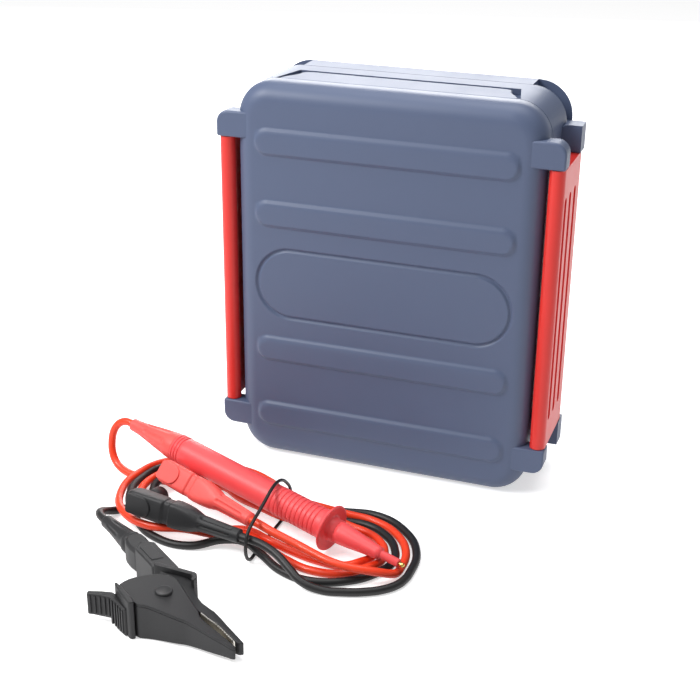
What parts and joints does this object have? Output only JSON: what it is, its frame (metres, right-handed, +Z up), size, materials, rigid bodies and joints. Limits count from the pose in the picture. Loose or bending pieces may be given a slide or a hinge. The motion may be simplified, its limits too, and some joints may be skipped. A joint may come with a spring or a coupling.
{
  "type": "resistance tester",
  "caption": "Portable instrument case with a lid on a double hinge, a side latch plate and a control panel inside, with a probe lead and a clip lead tied in a hank in front",
  "frame": {"origin": "On the floor under the middle of the closed case, halfway through its depth", "axes": "+X to the right along the width, +Y from the lid to the back, +Z up along the height of the standing case"},
  "size_m": [0.188, 0.2084, 0.17],
  "materials": {
    "case_grey": "fine satin moulded plastic",
    "plate_red": "satin moulded plastic",
    "rod_steel": "drawn rod",
    "panel_dark": "fine matte texture",
    "window_clear": "clear window",
    "lcd_grey": "grey liquid crystal cell",
    "knob_dark": "matte",
    "mark_white": "printed white",
    "nylon_white": "natural nylon",
    "button_orange": "satin",
    "key_yellow": "silicone key",
    "switch_black": "moulded",
    "socket_red": "moulded",
    "socket_green": "moulded",
    "board_green": "solder mask on laminate",
    "core_tan": "varnished winding",
    "can_blue": "sleeved can",
    "fuse_ceramic": "glazed tube",
    "brass": "stamped",
    "cell_wrap": "wrapped cell",
    "nickel": "nickel plate",
    "probe_red": "satin moulded plastic",
    "boot_red": "soft moulded vinyl",
    "gold": "gold plate",
    "cord_orange": "soft vinyl jacket",
    "cord_black": "soft vinyl jacket",
    "clip_black": "satin moulded plastic"
  },
  "bodies": {
    "case": {"rear_case": "case_grey", "front_case": "case_grey", "case_rod_left": "rod_steel", "case_rod_right": "rod_steel", "case_screws": "rod_steel", "rear_feet": "case_grey", "panel_plate": "panel_dark", "display_window": "window_clear", "lcd_module": "lcd_grey", "test_switch": "switch_black", "key_switches": "switch_black", "line_socket": "socket_red", "guard_socket": "socket_green", "earth_socket": "switch_black", "main_board": "board_green", "transformer": "core_tan", "capacitors": "can_blue", "chips": "switch_black", "buzzer": "switch_black", "fuse": "fuse_ceramic", "fuse_clips": "brass", "battery_cells": "cell_wrap", "battery_contacts": "nickel", "battery_cover": "case_grey", "cover_screws": "rod_steel", "test_spring": "rod_steel"},
    "link": {"link_plate": "plate_red"},
    "lid": {"lid": "case_grey", "lid_rod_left": "rod_steel", "lid_rod_right": "rod_steel"},
    "latch": {"latch_plate": "plate_red"},
    "knob": {"function_knob": "knob_dark", "knob_pointer": "mark_white", "switch_rotor": "nylon_white"},
    "test_button": {"test_button": "button_orange"},
    "light_key": {"light_key": "key_yellow"},
    "hold_key": {"hold_key": "case_grey"},
    "leads": {"probe_boot": "boot_red", "probe_barrel": "probe_red", "probe_nose": "probe_red", "probe_tip": "gold", "red_plug": "boot_red", "red_plug_pin": "nickel", "black_plug": "clip_black", "black_plug_pin": "nickel", "clip_body": "clip_black", "clip_pin": "clip_black", "clip_spring": "rod_steel", "clip_boot": "clip_black", "body_teeth": "rod_steel", "red_lead_tail": "cord_orange", "red_lead_coil": "cord_orange", "red_lead_plug_end": "cord_orange", "black_lead_clip_end": "cord_black", "black_lead_coil": "cord_black", "black_lead_plug_end": "cord_black", "twist_tie": "cord_black"},
    "clip_jaw": {"clip_jaw": "clip_black", "jaw_teeth": "rod_steel"}
  },
  "joints": [
    {"name": "link_hinge", "type": "hinge", "parent": "case", "child": "link", "pos_m": [-0.0704, 0.0067, 0.085], "axis": [0, 0, -1], "range_deg": [0, 180]},
    {"name": "lid_hinge", "type": "hinge", "parent": "link", "child": "lid", "pos_m": [-0.0704, -0.0241, 0.085], "axis": [0, 0, -1], "range_deg": [0, 180]},
    {"name": "latch_hinge", "type": "hinge", "parent": "lid", "child": "latch", "pos_m": [0.0704, -0.0241, 0.085], "axis": [0, 0, -1], "range_deg": [0, 120]},
    {"name": "knob_turn", "type": "hinge", "parent": "case", "child": "knob", "pos_m": [0, -0.012, 0.054], "axis": [0, -1, 0], "range_deg": [-60, 60]},
    {"name": "test_press", "type": "slide", "parent": "case", "child": "test_button", "axis": [0, 1, 0], "range_m": [0, 0.0016], "stiffness_N_per_m": 800},
    {"name": "light_press", "type": "slide", "parent": "case", "child": "light_key", "axis": [0, 1, 0], "range_m": [0, 0.0006], "stiffness_N_per_m": 800},
    {"name": "hold_press", "type": "slide", "parent": "case", "child": "hold_key", "axis": [0, 1, 0], "range_m": [0, 0.0006], "stiffness_N_per_m": 800},
    {"name": "leads_slide", "type": "slide", "parent": "case", "child": "leads", "axis": [0, -1, 0], "range_m": [0, 0.6]},
    {"name": "jaw_hinge", "type": "hinge", "parent": "leads", "child": "clip_jaw", "pos_m": [-0.0352, -0.1657, 0.0075], "axis": [0, 0, -1], "range_deg": [0, 17], "stiffness_Nm_per_rad": 0.3, "springref_deg": -5.73}
  ],
  "couplings": [
    {"joint": "lid_hinge", "follows": "link_hinge", "ratio": 1},
    {"joint": "leads_slide", "follows": "link_hinge", "m_per_rad": 0.185}
  ]
}
